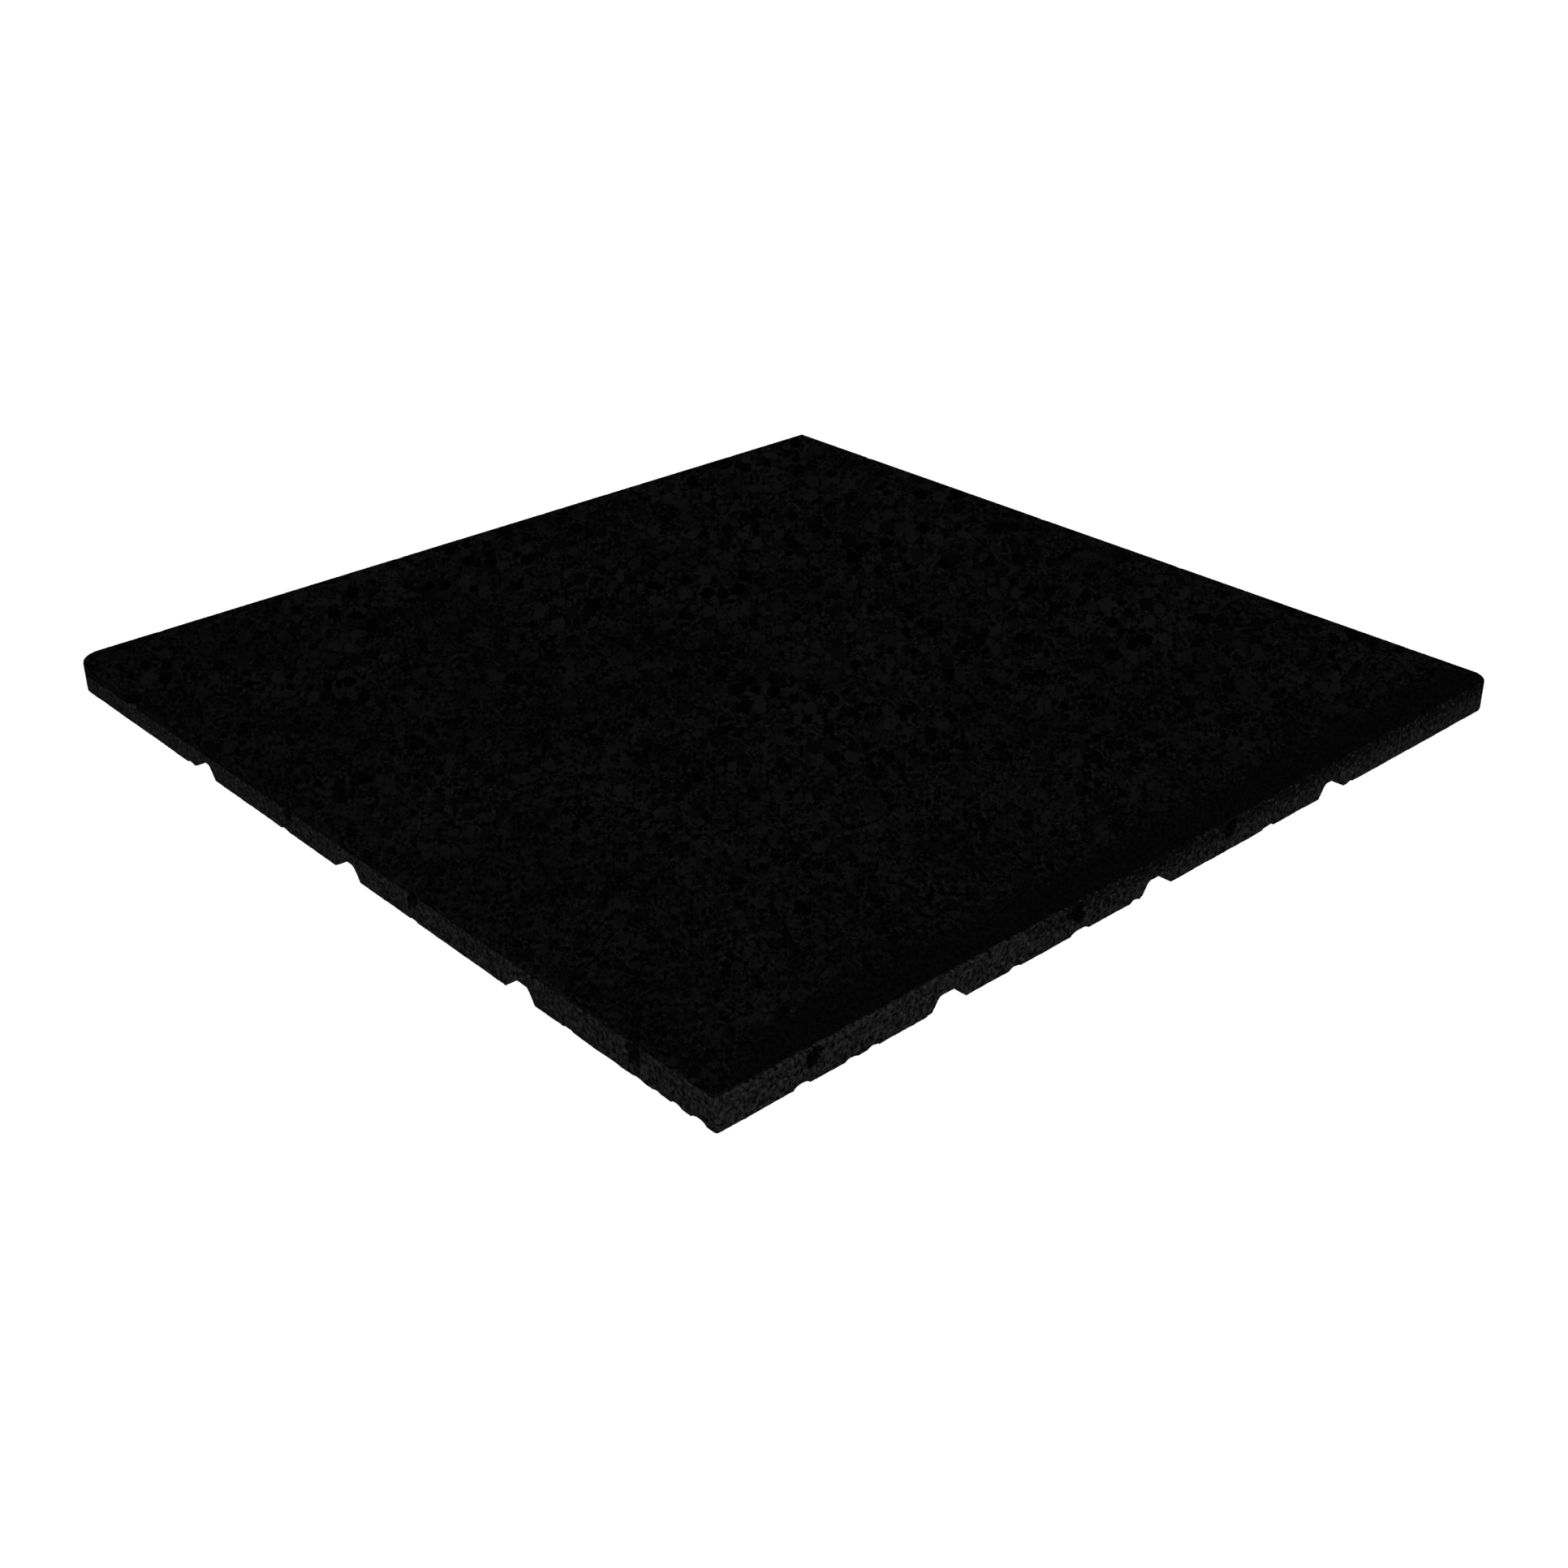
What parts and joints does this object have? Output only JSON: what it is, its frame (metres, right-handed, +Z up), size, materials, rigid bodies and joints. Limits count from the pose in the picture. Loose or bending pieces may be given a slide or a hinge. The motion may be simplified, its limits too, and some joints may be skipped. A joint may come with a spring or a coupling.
{
  "type": "rubber safety tile",
  "caption": "Square floor slab of bonded black rubber crumb, with drainage channels across its underside and dowel sockets in its side faces; it lies flat and softens falls.",
  "frame": {"origin": "middle of the underside, on the floor that the tile lies on", "axes": "+Z up through the thickness; X and Y square to the side faces; the picture's front corner is at +X -Y, its left side face looks along -Y and its right side face along +X"},
  "size_m": [1, 1, 0.03],
  "materials": {
    "rubber_crumb": "matt open-grained bonded crumb"
  },
  "bodies": {
    "root": {"rubber_tile": "rubber_crumb"}
  },
  "joints": []
}
